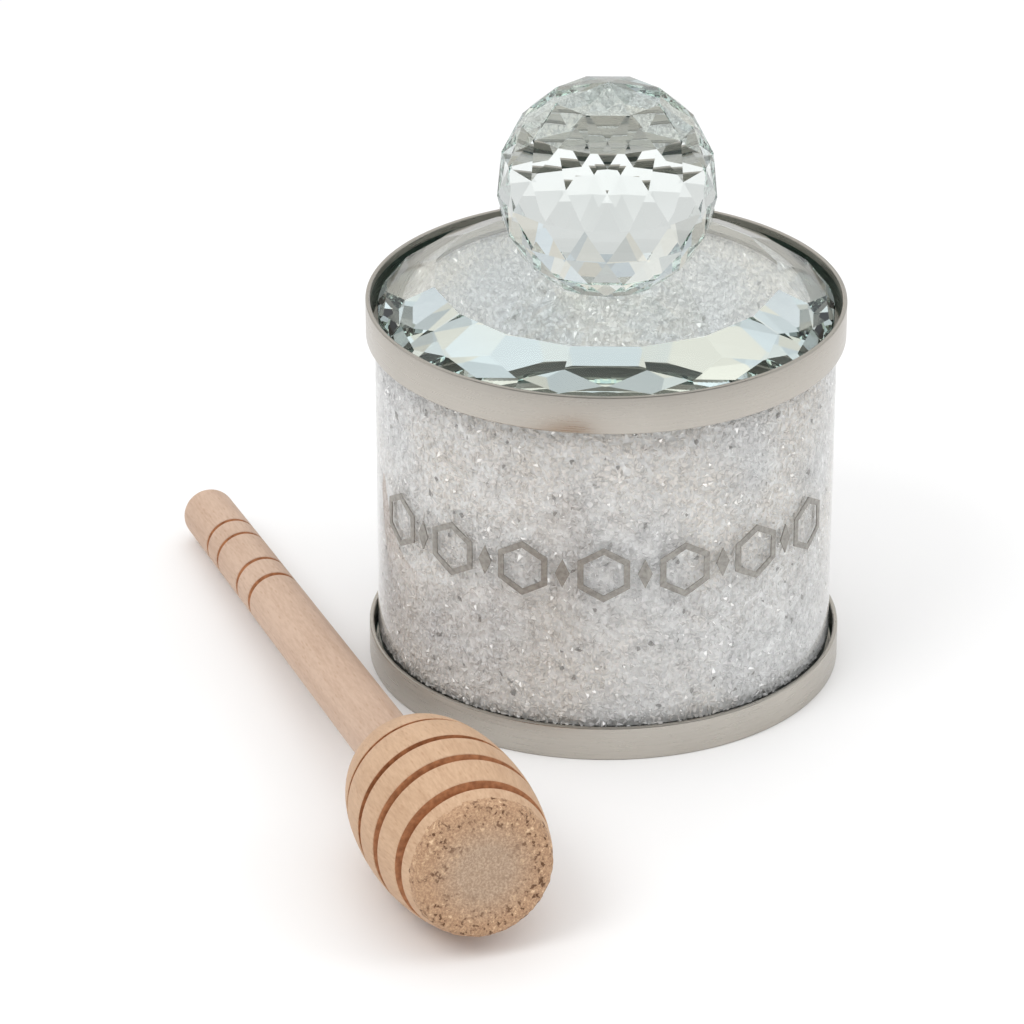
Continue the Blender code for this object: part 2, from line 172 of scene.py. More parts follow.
def lathe(outline, steps, tags=None):
    # turn (radius, height) points about Z. An outline that ends on the axis is capped there
    bm = bmesh.new()
    mark = bm.faces.layers.float.new("tag")
    rings = []
    for radius, height in outline:
        if radius <= 0.0:
            rings.append([bm.verts.new((0.0, 0.0, height))])
            continue
        rings.append([bm.verts.new((radius * math.cos(fullTurn * index / steps),
                                    radius * math.sin(fullTurn * index / steps), height))
                      for index in range(steps)])
    pairs = list(zip(rings, rings[1:]))
    if len(rings[0]) > 1 or len(rings[-1]) > 1:
        pairs.append((rings[-1], rings[0]))
    for number, (lower, upper) in enumerate(pairs):
        for index in range(steps):
            after = (index + 1) % steps
            corners = [lower[index % len(lower)], lower[after % len(lower)],
                       upper[after % len(upper)], upper[index % len(upper)]]
            face = bm.faces.new(list(dict.fromkeys(corners)))
            face[mark] = tags[number] if tags else 0.0
    bmesh.ops.recalc_face_normals(bm, faces=bm.faces)
    return bm


def arcPoints(centre, radius, start, end, steps):
    points = []
    for index in range(steps + 1):
        angle = math.radians(start + (end - start) * index / steps)
        points.append((centre[0] + radius * math.cos(angle), centre[1] + radius * math.sin(angle)))
    return points


def addPiece(name, bm, finish, smoothDegrees=35.0):
    mesh = bpy.data.meshes.new(name)
    bm.to_mesh(mesh)
    bm.free()
    if smoothDegrees:
        mesh.shade_smooth()
        mesh.set_sharp_from_angle(angle=math.radians(smoothDegrees))
    mesh.materials.append(finish)
    piece = bpy.data.objects.new(name, mesh)
    bpy.context.scene.collection.objects.link(piece)
    return piece


def settle(piece, body, slot, *standsFor):
    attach(piece, body)
    if standsFor:
        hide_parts(*standsFor)


def letLightThrough(piece):
    # light on its way to a matt face passes clear glass
    piece.visible_diffuse = False
    piece.visible_shadow = False


def dress(node, finish):
    nodes[node].data.materials.clear()
    nodes[node].data.materials.append(finish)


# Camera at the photo's place

photoCamera = {
    "lens": 183.35,
    "sensor": 36.0,
    "clip": (10.0 * mm, 50.0),
    "place": (0.0, -790.0 * mm, 422.8 * mm),
    "downDegrees": 26.69,
    "leftDegrees": 1.135,
}


def addCamera(settings):
    data = bpy.data.cameras.new("photoCamera")
    data.lens = settings["lens"]
    data.sensor_width = settings["sensor"]
    data.clip_start, data.clip_end = settings["clip"]
    camera = bpy.data.objects.new("photoCamera", data)
    camera.location = settings["place"]
    camera.rotation_euler = (math.radians(90.0 - settings["downDegrees"]), 0.0,
                             math.radians(settings["leftDegrees"]))
    bpy.context.scene.collection.objects.link(camera)
    bpy.context.scene.camera = camera


addCamera(photoCamera)


# Studio: pale floor, white surround for eye and glass, soft lamps

studio = {
    "floorRadius": 4.0,
    "floorSteps": 96,
    "floorTone": 0.90,
    "floorRoughness": 0.9,
    "floorSheen": 0.1,
    "shadowReach": (110.0 * mm, 420.0 * mm),     # beyond it the floor is plain white
    "diffuseLevel": (0.48, 0.78),      # at the horizon, and what the zenith adds
    # the room as glass and steel see it; the fades run over Y or Z of the way they look
    "tableTone": 0.72,                 # the far floor
    "frontTone": 0.36,                 # the dim camera side
    "frontFade": (0.15, -0.45),
    "horizonTone": 0.75,
    "backTone": 0.94,
    "riseFade": (0.05, 0.4),           # from horizonTone up to backTone
    "roofTone": 1.15,
    "roofFade": (0.55, 0.9),
    "patches": 0.42,
    "patchScale": 2.6,
    "warmPatch": (1.0, 0.95, 0.87, 1.0),   # faint colours for cut glass to split
    "coolPatch": (0.89, 0.945, 1.0, 1.0),
    "hueScale": 6.0,
    "lamps": [
        # name, place, size, watts
        ("keyLamp", (-0.55, -0.55, 0.95), 0.55, 3.0),
        ("fillLamp", (0.8, -0.2, 0.7), 0.5, 1.2),
        ("backLamp", (0.1, 0.9, 0.8), 0.8, 1.0),
    ],
}


def whoLooks(tree):
    # first: the camera itself; second: glass or steel, but not light on its way to a matt face
    path = addNode(tree, "ShaderNodeLightPath").outputs
    seen = calc(tree, "MAXIMUM", path["Is Glossy Ray"], path["Is Transmission Ray"])
    fresh = calc(tree, "LESS_THAN", path["Diffuse Depth"], 0.5)
    return path["Is Camera Ray"], calc(tree, "MULTIPLY", seen, fresh)


def floorFinish(settings):
    finish, tree, shader = newFinish("paleFloor")
    tone = settings["floorTone"]
    feed(tree, shader, {"Base Color": (tone, tone, tone, 1.0),
                        "Roughness": settings["floorRoughness"],
                        "Specular IOR Level": settings["floorSheen"]})
    near, far = settings["shadowReach"]
    away = fade(tree, reachOf(tree, objectPlace(tree)), near, far, kind="SMOOTHSTEP")
    camera, seen = whoLooks(tree)
    factor = calc(tree, "MULTIPLY", away, calc(tree, "MAXIMUM", camera, seen))
    level = calc(tree, "MULTIPLY_ADD", camera, 1.0 - settings["tableTone"], settings["tableTone"])
    white = addNode(tree, "ShaderNodeEmission", {"Strength": level})
    setSurface(tree, blendShaders(tree, factor, shader, white))
    return finish


def addFloorAndLamps(settings):
    bm = bmesh.new()
    bmesh.ops.create_circle(bm, cap_ends=True, segments=settings["floorSteps"],
                            radius=settings["floorRadius"])
    floor = addPiece("studioFloor", bm, floorFinish(settings), smoothDegrees=0.0)

    for name, place, size, watts in settings["lamps"]:
        lamp = bpy.data.lights.new(name, "AREA")
        lamp.shape = "DISK"
        lamp.size = size
        lamp.energy = watts
        holder = bpy.data.objects.new(name, lamp)
        holder.location = place
        holder.rotation_euler = (-Vector(place)).to_track_quat("-Z", "Y").to_euler()
        holder.visible_camera = False
        holder.visible_glossy = False
        holder.visible_transmission = False
        bpy.context.scene.collection.objects.link(holder)


def seenRoom(tree, direction, forward, height, settings):
    # dim toward the camera, paler with height, palest overhead, and patchy all over
    front = fade(tree, forward, *settings["frontFade"], kind="SMOOTHSTEP")
    rise = fade(tree, height, *settings["riseFade"], settings["horizonTone"], settings["backTone"],
                kind="SMOOTHSTEP")
    roof = fade(tree, height, *settings["roofFade"], kind="SMOOTHSTEP")
    patches = settings["patches"]
    patchy = fade(tree, noiseOf(tree, direction, settings["patchScale"], 1.0), 0.3, 0.7,
                  1.0 - patches, 1.0 + patches / 2.0)
    tone = calc(tree, "MULTIPLY_ADD", front, settings["frontTone"] - 1.0, 1.0)
    tone = calc(tree, "MULTIPLY", tone, rise)
    tone = calc(tree, "MULTIPLY", tone, patchy)
    return calc(tree, "MULTIPLY", tone, calc(tree, "MULTIPLY_ADD", roof, settings["roofTone"] - 1.0, 1.0))


def addSurround(settings):
    world = bpy.data.worlds.new("studioSurround")
    bpy.context.scene.world = world
    world.use_nodes = True
    tree = world.node_tree
    white = (1.0, 1.0, 1.0, 1.0)
    direction = addNode(tree, "ShaderNodeTexCoord").outputs["Generated"]
    axes = addNode(tree, "ShaderNodeSeparateXYZ", {0: direction}).outputs
    level, overhead = settings["diffuseLevel"]
    above = calc(tree, "MAXIMUM", axes["Z"], 0.0)
    plain = tree.nodes["Background"]
    feed(tree, plain, {"Color": white, "Strength": calc(tree, "MULTIPLY_ADD", above, overhead, level)})

    camera, seen = whoLooks(tree)
    tone = seenRoom(tree, direction, axes["Y"], axes["Z"], settings)
    tone = calc(tree, "MAXIMUM", tone, camera)
    hue = ramp(tree, noiseOf(tree, direction, settings["hueScale"], 1.0), [(0.42, 0.0), (0.58, 1.0)])
    hue = blendColours(tree, hue, settings["coolPatch"], settings["warmPatch"])
    hue = blendColours(tree, camera, hue, white)
    room = addNode(tree, "ShaderNodeBackground", {"Color": hue, "Strength": tone})
    shading = blendShaders(tree, calc(tree, "MAXIMUM", camera, seen), plain, room)
    feed(tree, tree.nodes["World Output"], {"Surface": shading})
    bpy.context.scene.view_settings.view_transform = "Standard"


addFloorAndLamps(studio)
addSurround(studio)

# glass inside glass needs long light paths
lightPaths = bpy.context.scene.cycles
lightPaths.max_bounces = 28
lightPaths.glossy_bounces = 20
lightPaths.transmission_bounces = 28
lightPaths.diffuse_bounces = 8
print("studio ready")


# Satin steel trays

steel = {
    "colour": linear(196, 191, 183),
    "dull": linear(182, 177, 169),
    "streaksPerTurn": 5.0,
    "streakHeight": 2600.0,            # streaks per metre up the rim
    "cloudScale": 55.0,
    "roughness": (0.24, 0.36),
    "relief": 0.02 * mm,
    "steps": 256,
    "sheet": 0.8 * mm,
    "edge": 0.28 * mm,
    "ledgeHole": 31.6 * mm,
    "padGap": 0.3 * mm,
    "shade": (0.11, 0.15, 0.13, 1.0),            # painted shade on the insides of both rims
    "shadeInset": 0.3 * mm,                      # how far it starts before the wall and above the ledge
    "shadeShare": 0.9,                           # how deep it goes into the sheet
    "brims": (1.3 * mm, 0.5 * mm),               # steel left without the painted shade at the upper and the lower lip
}


def aroundDish(tree):
    # object coordinates as turn angle, height and reach, for the brushed rims
    place = objectPlace(tree)
    axes = addNode(tree, "ShaderNodeSeparateXYZ", {0: place}).outputs
    angle = calc(tree, "ARCTAN2", axes["Y"], axes["X"])
    return place, angle, axes["Z"], reachOf(tree, place, (1.0, 1.0, 0.0))


def rimShadeMask(tree, height, reach, settings):
    # where the painted shade goes: 1 on the inner face of either rim, 0 elsewhere
    low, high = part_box("lid_tray")
    sheet, inset = settings["sheet"], settings["shadeInset"]
    upperBrim, lowerBrim = settings["brims"]
    upper = between(tree, height, low.z + sheet + inset, high.z - upperBrim)
    lower = calc(tree, "LESS_THAN", height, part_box("base_tray")[1].z - lowerBrim)
    wall = high.x - sheet - inset
    inner = between(tree, reach, wall, wall + sheet * settings["shadeShare"])
    return calc(tree, "MULTIPLY", calc(tree, "MAXIMUM", upper, lower), inner)


def steelFinish(settings):
    finish, tree, shader = newFinish("brushedSatinSteel")
    place, angle, height, reach = aroundDish(tree)
    along = calc(tree, "MULTIPLY", angle, settings["streaksPerTurn"])
    up = calc(tree, "MULTIPLY", height, settings["streakHeight"])
    across = calc(tree, "MULTIPLY", reach, settings["streakHeight"])
    brushed = addNode(tree, "ShaderNodeCombineXYZ", {0: along, 1: up, 2: across}).outputs[0]
    streaks = noiseOf(tree, brushed, 1.0, 4.0, 0.65)
    clouds = noiseOf(tree, place, settings["cloudScale"], 3.0)
    tone = calc(tree, "MULTIPLY_ADD", streaks, 0.7, calc(tree, "MULTIPLY", clouds, 0.5))
    colour = blendColours(tree, ramp(tree, tone, [(0.35, 0.0), (0.8, 1.0)]),
                          settings["dull"], settings["colour"])
    # painted shade: the insides of both rims turn dark
    colour = blendColours(tree, rimShadeMask(tree, height, reach, settings), colour, settings["shade"])
    feed(tree, shader, {"Base Color": colour, "Metallic": 1.0,
                        "Roughness": fade(tree, streaks, 0.3, 0.7, *settings["roughness"]),
                        "Normal": bumpOf(tree, streaks, 0.10, settings["relief"])})
    return finish


satinSteel = steelFinish(steel)


def roundedRing(outer, inner, low, high, edge, steps=3):
    # a ring's section with all four edges rounded
    section = arcPoints((outer - edge, high - edge), edge, 0.0, 90.0, steps)
    section += arcPoints((inner + edge, high - edge), edge, 90.0, 180.0, steps)
    section += arcPoints((inner + edge, low + edge), edge, 180.0, 270.0, steps)
    section += arcPoints((outer - edge, low + edge), edge, 270.0, 360.0, steps)
    return section


def addTrays(settings):
    edge = settings["edge"]
    low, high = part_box("lid_tray")
    outer = high.x
    inner = outer - settings["sheet"]
    hole = settings["ledgeHole"]
    floor = low.z
    ledge = floor + settings["sheet"]
    section = arcPoints((outer - edge, high.z - edge), edge, 0.0, 90.0, 4)
    section += arcPoints((inner + edge, high.z - edge), edge, 90.0, 180.0, 4)
    section += arcPoints((inner - edge, ledge + edge), edge, 0.0, -90.0, 3)
    section += arcPoints((hole + edge, ledge - edge), edge, 90.0, 180.0, 3)
    section += arcPoints((hole + edge, floor + edge), edge, 180.0, 270.0, 3)
    section += arcPoints((outer - edge, floor + edge), edge, 270.0, 360.0, 4)
    upper = addPiece("upperTray", lathe(section, settings["steps"]), satinSteel)
    settle(upper, "dish", "satin_steel", "lid_tray")

    low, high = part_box("base_tray")
    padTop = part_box("base_pad")[1].z + settings["padGap"]
    section = [(0.0, padTop + settings["sheet"])]
    section += arcPoints((inner - edge, padTop + settings["sheet"] + edge), edge, -90.0, 0.0, 3)
    section += arcPoints((inner + edge, high.z - edge), edge, 180.0, 90.0, 4)
    section += arcPoints((outer - edge, high.z - edge), edge, 90.0, 0.0, 4)
    section += arcPoints((outer - edge, low.z + edge), edge, 0.0, -90.0, 4)
    section += [(inner, low.z), (inner, padTop), (0.0, padTop)]
    lower = addPiece("lowerTray", lathe(section, settings["steps"]), satinSteel)
    settle(lower, "dish", "satin_steel", "base_tray")


addTrays(steel)
print("trays turned")


# Clear glass tube and cup

glass = {
    "tint": (0.985, 0.992, 0.988, 1.0),
    "refraction": 1.5,
    "smear": 0.02,                     # roughest spot
    "smearScale": 90.0,
    "mirror": (0.04, 0.96),            # straight on, and what a glancing look adds
    "mirrorRoughness": 0.03,
    "steps": 256,
    "tubeWall": 1.2 * mm,
    "tubeEdge": 0.4 * mm,
    "tubeSkin": 0.02 * mm,             # how near the outside a face counts as the outer face
    "cupWall": 2.0 * mm,
    "cupFloor": 4.0 * mm,
    "cupInnerFillet": 5.0 * mm,
    "cupOuterFillet": 1.5 * mm,
    "cupEdge": 0.4 * mm,
}


def glassFinish(name, settings):
    finish, tree, shader = newFinish(name)
    clouds = noiseOf(tree, objectPlace(tree), settings["smearScale"], 4.0)
    feed(tree, shader, {"Base Color": settings["tint"], "IOR": settings["refraction"],
                        "Transmission Weight": 1.0,
                        "Roughness": fade(tree, clouds, 0.45, 0.8, 0.0, settings["smear"])})
    return finish


def wallGlassFinish(name, settings):
    # clear wall glass: what is behind it shows straight through, its face mirrors the room
    finish, tree, shader = newFinish(name)
    tree.nodes.remove(shader)
    facing = addNode(tree, "ShaderNodeLayerWeight", {"Blend": 0.5}).outputs["Facing"]
    straight, glancing = settings["mirror"]
    mirror = calc(tree, "MULTIPLY_ADD", calc(tree, "POWER", facing, 5.0), glancing, straight)
    clear = addNode(tree, "ShaderNodeBsdfTransparent", {"Color": settings["tint"]})
    gloss = addNode(tree, "ShaderNodeBsdfGlossy", {"Roughness": settings["mirrorRoughness"]})
    setSurface(tree, blendShaders(tree, mirror, clear, gloss))
    return finish


clearGlass = wallGlassFinish("clearWallGlass", glass)
bendingGlass = glassFinish("clearTubeFace", glass)


def addTubeAndCup(settings):
    edge = settings["tubeEdge"]
    low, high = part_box("outer_tube")
    section = roundedRing(high.x, high.x - settings["tubeWall"], low.z, high.z, edge)
    tube = addPiece("glassTube", lathe(section, settings["steps"]), clearGlass)
    # the fill is bonded to the tube, so light bends only at the outer face
    tube.data.materials.append(bendingGlass)
    for face in tube.data.polygons:
        if math.hypot(face.center.x, face.center.y) > high.x - settings["tubeSkin"]:
            face.material_index = 1
    settle(tube, "dish", "clear_glass", "outer_tube")
    letLightThrough(tube)

    edge = settings["cupEdge"]
    low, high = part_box("inner_cup")
    inner = high.x - settings["cupWall"]
    floor = low.z + settings["cupFloor"]
    fillet = settings["cupInnerFillet"]
    foot = settings["cupOuterFillet"]
    section = [(0.0, floor)]
    section += arcPoints((inner - fillet, floor + fillet), fillet, -90.0, 0.0, 12)
    section += arcPoints((inner + edge, high.z - edge), edge, 180.0, 90.0, 3)
    section += arcPoints((high.x - edge, high.z - edge), edge, 90.0, 0.0, 3)
    section += arcPoints((high.x - foot, low.z + foot), foot, 0.0, -90.0, 6)
    section += [(0.0, low.z)]
    cup = addPiece("glassCup", lathe(section, settings["steps"]), clearGlass)
    settle(cup, "dish", "clear_glass", "inner_cup")
    letLightThrough(cup)


addTubeAndCup(glass)
print("tube and cup turned")


# Crushed crystal fill: chips scattered on both faces of a pale core

crystals = {
    "seed": 7,
    "shapes": 6,
    "corners": 7,
    "widthShares": (0.6, 0.9),         # of a shard's length
    "thickShares": (0.45, 0.75),
    "sizeShares": (0.6, 1.25),         # of the chip size
    "coreRadius": (33.5 * mm, 36.55 * mm),
    "coreEdge": 0.1 * mm,
    "steps": 128,
    "spacing": 0.60 * mm,
    "density": 7.0e6,
    "chipSize": 0.70 * mm,
    "depthJitter": 0.25 * mm,
    "outerRadius": 37.05 * mm,
    "innerRadius": 33.1 * mm,
    "endGap": 0.6 * mm,
    # darkest, middle and palest chips
    "outerTones": ((0.80, 0.795, 0.78), (0.89, 0.88, 0.865), (0.94, 0.93, 0.915)),
    # the inner chips are painted paler than the outer ones, as painted light for the inside of the cup
    "innerPaintedLightTones": ((0.80, 0.80, 0.79), (0.97, 0.97, 0.96), (0.99, 0.99, 0.985)),
    "middleShare": 0.25,               # share of chips below the middle tone
    "darkChips": 0.012,
    "darkTone": (0.46, 0.45, 0.44, 1.0),
    "paintedFootShade": (0.15, 0.15, 0.14, 1.0),       # painted shade at the foot of the fill, inside the lower rim
    "footDrop": 0.85 * mm,                     # its top, below the rim's lip
    "roughness": 0.22,
    "passes": 0.4,                     # share of light that goes through a chip
    "facetScale": 90.0,
    "paintedGlints": 0.012,                   # share of all facets that glow as painted glints
    "paintedGlintColour": (1.0, 1.0, 0.99, 1.0),
    "paintedGlintLevel": 0.85,
    "warmTint": (1.0, 0.985, 0.972, 1.0),
    "coolTint": (0.975, 0.982, 1.0, 1.0),
    "tintScale": 45.0,
    "coreTones": (0.97, 0.74),
    "coreCells": 1500.0,               # per metre
    "coreRelief": 0.3 * mm,
    "coreRoughness": 0.35,
    # painted light: the inner chips glow a little
    "innerGlow": 0.11,
}


def makeShards(settings):
    # a few small broken shapes, hidden, for the scatter to pick from
    chance = random.Random(settings["seed"])
    shelf = bpy.data.collections.new("shards")
    for number in range(settings["shapes"]):
        bm = bmesh.new()
        stretch = Vector((1.0, chance.uniform(*settings["widthShares"]),
                          chance.uniform(*settings["thickShares"])))
        for _ in range(settings["corners"]):
            point = Vector([chance.gauss(0.0, 1.0) for _ in range(3)]).normalized()
            bm.verts.new(point * stretch)
        hull = bmesh.ops.convex_hull(bm, input=bm.verts)
        bmesh.ops.delete(bm, geom=hull["geom_interior"], context="VERTS")
        bmesh.ops.recalc_face_normals(bm, faces=bm.faces)
        mesh = bpy.data.meshes.new(f"shard{number}")
        bm.to_mesh(mesh)
        bm.free()
        shelf.objects.link(bpy.data.objects.new(f"shard{number}", mesh))
    return shelf


def scatterTree(shelf, settings):
    tree = bpy.data.node_groups.new("chipScatter", "GeometryNodeTree")
    face = tree.interface
    face.new_socket("Geometry", in_out="INPUT", socket_type="NodeSocketGeometry")
    for name in ("Spacing", "Density", "Chip Size", "Depth Jitter"):
        face.new_socket(name, in_out="INPUT", socket_type="NodeSocketFloat")
    face.new_socket("Seed", in_out="INPUT", socket_type="NodeSocketInt")
    face.new_socket("Finish", in_out="INPUT", socket_type="NodeSocketMaterial")
    face.new_socket("Geometry", in_out="OUTPUT", socket_type="NodeSocketGeometry")
    given = addNode(tree, "NodeGroupInput").outputs
    spread = addNode(tree, "GeometryNodeDistributePointsOnFaces",
                     {"Mesh": given["Geometry"], "Distance Min": given["Spacing"],
                      "Density Max": given["Density"], "Seed": given["Seed"]},
                     distribute_method="POISSON")

    def chance(kind, low, high, offset):
        # a random value for each chip, with its own offset from the seed
        node = addNode(tree, "FunctionNodeRandomValue", data_type=kind)
        slots = {"FLOAT_VECTOR": (0, 1, 0), "FLOAT": (2, 3, 1), "INT": (4, 5, 2)}[kind]
        node.inputs[slots[0]].default_value = low
        node.inputs[slots[1]].default_value = high
        tree.links.new(calc(tree, "ADD", given["Seed"], float(offset)), node.inputs["Seed"])
        return node.outputs[slots[2]]

    depth = calc(tree, "MULTIPLY", chance("FLOAT", -1.0, 1.0, 11), given["Depth Jitter"])
    push = addNode(tree, "ShaderNodeVectorMath", {0: spread.outputs["Normal"], "Scale": depth},
                   operation="SCALE").outputs[0]
    moved = addNode(tree, "GeometryNodeSetPosition",
                    {"Geometry": spread.outputs["Points"], "Offset": push})
    shapes = addNode(tree, "GeometryNodeCollectionInfo",
                     {"Collection": shelf, "Separate Children": True, "Reset Children": True})
    size = calc(tree, "MULTIPLY", chance("FLOAT", *settings["sizeShares"], 23), given["Chip Size"])
    chips = addNode(tree, "GeometryNodeInstanceOnPoints",
                    {"Points": moved.outputs[0], "Instance": shapes.outputs[0],
                     "Pick Instance": True,
                     "Instance Index": chance("INT", 0, len(shelf.objects) - 1, 37),
                     "Rotation": chance("FLOAT_VECTOR", (0.0, 0.0, 0.0), (fullTurn,) * 3, 41),
                     "Scale": size})
    toned = addNode(tree, "GeometryNodeStoreNamedAttribute",
                    {"Geometry": chips.outputs[0], "Name": "chipTone",
                     "Value": chance("FLOAT", 0.0, 1.0, 53)}, data_type="FLOAT", domain="INSTANCE")
    real = addNode(tree, "GeometryNodeRealizeInstances", {"Geometry": toned.outputs[0]})
    done = addNode(tree, "GeometryNodeSetMaterial",
                   {"Geometry": real.outputs[0], "Material": given["Finish"]})
    addNode(tree, "NodeGroupOutput", {"Geometry": done.outputs[0]})
    return tree


def growChips(name, tree, radius, low, high, finish, settings, seed):
    # chips over a round wall, made by the scatter and kept as a plain mesh
    bm = bmesh.new()
    bmesh.ops.create_cone(bm, segments=settings["steps"], radius1=radius, radius2=radius,
                          depth=high - low, cap_ends=False)
    bmesh.ops.translate(bm, verts=bm.verts, vec=(0.0, 0.0, (low + high) / 2.0))
    host = addPiece(name + "Host", bm, finish)
    modifier = host.modifiers.new("scatter", "NODES")
    modifier.node_group = tree
    values = {"Spacing": settings["spacing"], "Density": settings["density"],
              "Chip Size": settings["chipSize"], "Depth Jitter": settings["depthJitter"],
              "Seed": seed, "Finish": finish}
    for item in tree.interface.items_tree:
        if item.in_out == "INPUT" and item.name in values:
            modifier[item.identifier] = values[item.name]
    bpy.context.view_layer.update()
    mesh = bpy.data.meshes.new_from_object(host.evaluated_get(bpy.context.evaluated_depsgraph_get()))
    host.modifiers.clear()
    bpy.data.objects.remove(host)
    mesh.name = name
    piece = bpy.data.objects.new(name, mesh)
    bpy.context.scene.collection.objects.link(piece)
    print(name, len(mesh.polygons), "faces")
    return piece


def paintFootShade(tree, place, colour, settings):
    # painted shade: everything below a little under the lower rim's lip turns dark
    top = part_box("base_tray")[1].z - settings["footDrop"]
    foot = calc(tree, "LESS_THAN", upward(tree, place), top)
    return blendColours(tree, foot, colour, settings["paintedFootShade"])


def chipFinish(name, settings, tones, glow=0.0):
    finish, tree, shader = newFinish(name)
    dark, pale, lit = [(*tone, 1.0) for tone in tones]
    place = objectPlace(tree)
    tone = addNode(tree, "ShaderNodeAttribute", attribute_name="chipTone").outputs["Fac"]
    colour = ramp(tree, tone, [(0.0, dark), (settings["middleShare"], pale), (1.0, lit)])
    hue = ramp(tree, noiseOf(tree, place, settings["tintScale"], 2.0), [(0.4, 0.0), (0.6, 1.0)])
    hue = blendColours(tree, hue, settings["warmTint"], settings["coolTint"])
    colour = blendColours(tree, 1.0, colour, hue, blend="MULTIPLY")
    speck = calc(tree, "LESS_THAN", tone, settings["darkChips"])
    colour = blendColours(tree, speck, colour, settings["darkTone"])
    # only the outer chips, which have no glow, get the painted shade at the foot
    if not glow:
        colour = paintFootShade(tree, place, colour, settings)
    # painted glints: a few facets glow white as if they caught a lamp; the glow is painted light that stands
    # in for light that reaches the cup through the fill
    normal = addNode(tree, "ShaderNodeNewGeometry").outputs["True Normal"]
    facet = addNode(tree, "ShaderNodeVectorMath", {0: normal, 1: (settings["facetScale"],) * 3, 2: tone},
                    operation="MULTIPLY_ADD").outputs[0]
    facet = addNode(tree, "ShaderNodeVectorMath", {0: facet}, operation="FLOOR").outputs[0]
    luck = addNode(tree, "ShaderNodeTexWhiteNoise", {"Vector": facet}, noise_dimensions="3D").outputs[0]
    paintedGlint = calc(tree, "GREATER_THAN", luck, 1.0 - settings["paintedGlints"])
    feed(tree, shader, {"Base Color": colour, "Roughness": settings["roughness"],
                        "Emission Color": settings["paintedGlintColour"],
                        "Emission Strength": calc(tree, "MULTIPLY_ADD", paintedGlint, settings["paintedGlintLevel"], glow)})
    through = addNode(tree, "ShaderNodeBsdfTranslucent", {"Color": colour})
    setSurface(tree, blendShaders(tree, settings["passes"], shader, through))
    return finish


def coreFinish(settings):
    finish, tree, shader = newFinish("crystalCore")
    pale, dark = settings["coreTones"]
    place = objectPlace(tree)
    cells = addNode(tree, "ShaderNodeTexVoronoi", {"Vector": place, "Scale": settings["coreCells"]})
    colour = ramp(tree, cells.outputs["Color"], [(0.15, dark), (0.85, pale)])
    feed(tree, shader, {"Base Color": paintFootShade(tree, place, colour, settings),
                        "Roughness": settings["coreRoughness"],
                        "Normal": bumpOf(tree, cells.outputs["Distance"], 0.4, settings["coreRelief"])})
    return finish


def addCrystalFill(settings):
    low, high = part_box("crystal_fill")
    gap = settings["endGap"]
    tree = scatterTree(makeShards(settings), settings)
    outerFinish = chipFinish("crushedCrystal", settings, settings["outerTones"])
    innerFinish = chipFinish("crushedCrystalInside", settings, settings["innerPaintedLightTones"],
                             settings["innerGlow"])
    outerChips = growChips("outerChips", tree, settings["outerRadius"], low.z + gap, high.z - gap,
                           outerFinish, settings, settings["seed"])
    innerChips = growChips("innerChips", tree, settings["innerRadius"], low.z + gap, high.z - gap,
                           innerFinish, settings, settings["seed"] + 1)
    inner, outer = settings["coreRadius"]
    section = roundedRing(outer, inner, low.z, high.z, settings["coreEdge"])
    core = addPiece("crystalCore", lathe(section, settings["steps"]), coreFinish(settings))
    settle(outerChips, "dish", "crushed_crystal", "crystal_fill")
    settle(innerChips, "dish", "crushed_crystal")
    settle(core, "dish", "crushed_crystal")


addCrystalFill(crystals)
print("crystal fill scattered")


# Cut crystal lid and ball

cutGlass = {
    "tint": (0.985, 0.995, 0.99, 1.0),
    "refraction": 1.52,
    "smear": 0.004,
    "smearScale": 90.0,
    "massTint": (0.74, 0.95, 0.87, 1.0),   # faint green of thick glass
    "massDensity": 5.0,
}


def cutGlassFinish(settings):
    finish = glassFinish("cutCrystal", settings)
    tree = finish.node_tree
    mass = addNode(tree, "ShaderNodeVolumeAbsorption",
                   {"Color": settings["massTint"], "Density": settings["massDensity"]})
    feed(tree, tree.nodes["Material Output"], {"Volume": mass.outputs[0]})
    return finish


cutCrystal = cutGlassFinish(cutGlass)

lidCut = {
    "steps": 256,
    "tableRadius": 28.4 * mm,
    "sides": 16,
    "girdleDrop": 4.0 * mm,            # below the table
    "breakShare": 0.5,                 # of a step round the lid
    "breakReach": 3.2 * mm,
    "breakSlope": 34.0,
    "edgeReach": 1.45 * mm,
    "edgeSink": 0.25 * mm,             # under the crown facets
    "edgeSlope": 48.0,
    "footBevel": 2.4 * mm,
    "footSlope": 42.0,
}


def grindFlat(bm, direction, reach, height, slope):
    # keep what lies under a plane through (reach, height) that leans outward by slope
    tilt = math.sin(abs(slope))
    normal = Vector((math.cos(direction) * tilt, math.sin(direction) * tilt,
                     math.copysign(math.cos(slope), slope)))
    point = Vector((math.cos(direction) * reach, math.sin(direction) * reach, height))
    cut = bmesh.ops.bisect_plane(bm, geom=bm.verts[:] + bm.edges[:] + bm.faces[:], dist=1e-6,
                                 plane_co=point, plane_no=normal, clear_outer=True)
    rim = [part for part in cut["geom_cut"] if isinstance(part, bmesh.types.BMEdge)]
    if rim:
        bmesh.ops.contextual_create(bm, geom=rim)


def grindRing(bm, count, first, reach, height, slope):
    for index in range(count):
        grindFlat(bm, fullTurn * (index + first) / count, reach, height, slope)


